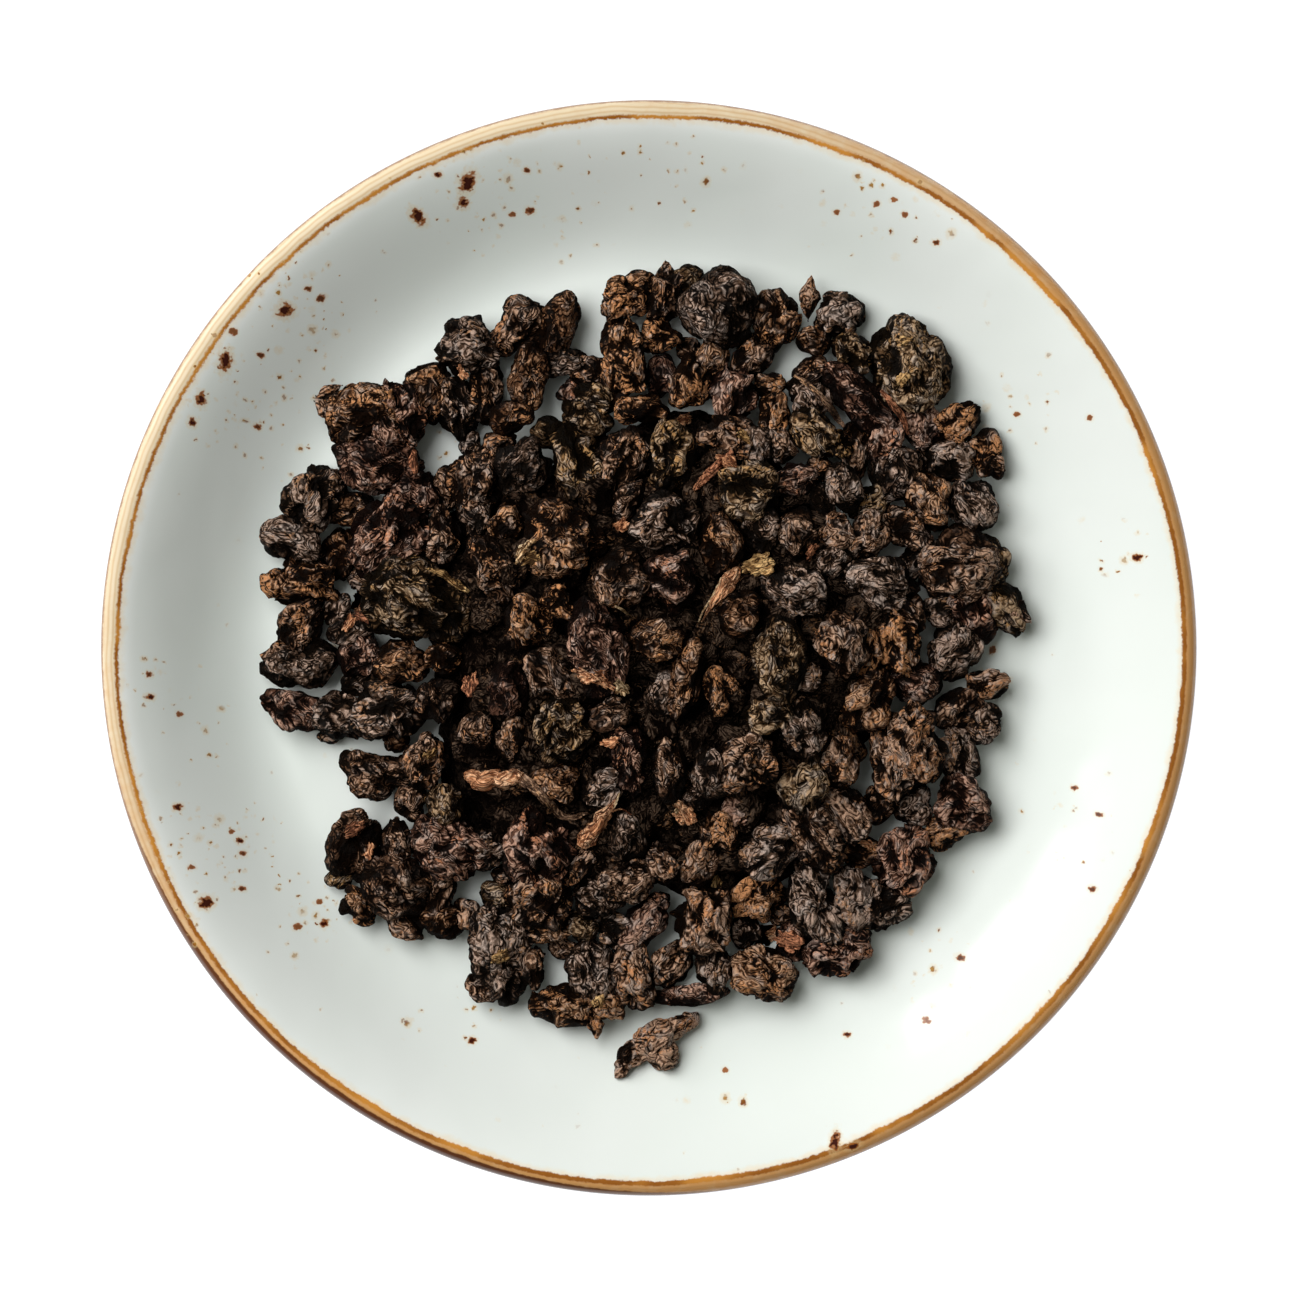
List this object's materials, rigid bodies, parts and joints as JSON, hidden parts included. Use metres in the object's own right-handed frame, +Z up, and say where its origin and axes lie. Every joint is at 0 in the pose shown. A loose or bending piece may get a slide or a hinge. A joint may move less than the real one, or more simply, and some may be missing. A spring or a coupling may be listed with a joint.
{
  "type": "dish of rolled oolong tea",
  "caption": "Small heap of dark rolled oolong tea pellets in a round glazed dish with a brown rim, one pellet lying loose beside the heap.",
  "frame": {"origin": "middle of the flat base of the dish's foot ring, on the surface that the dish stands on", "axes": "+Z up through the middle of the dish; +Y towards the top of a picture taken from straight above, +X towards its right-hand side, so the loose pellet lies on the -Y side"},
  "size_m": [0.145, 0.145, 0.0235],
  "materials": {
    "dish_glaze": "gloss",
    "rolled_tea": "satin"
  },
  "bodies": {
    "root": {"dish": "dish_glaze", "tea_heap": "rolled_tea", "loose_pellet": "rolled_tea"}
  },
  "joints": []
}
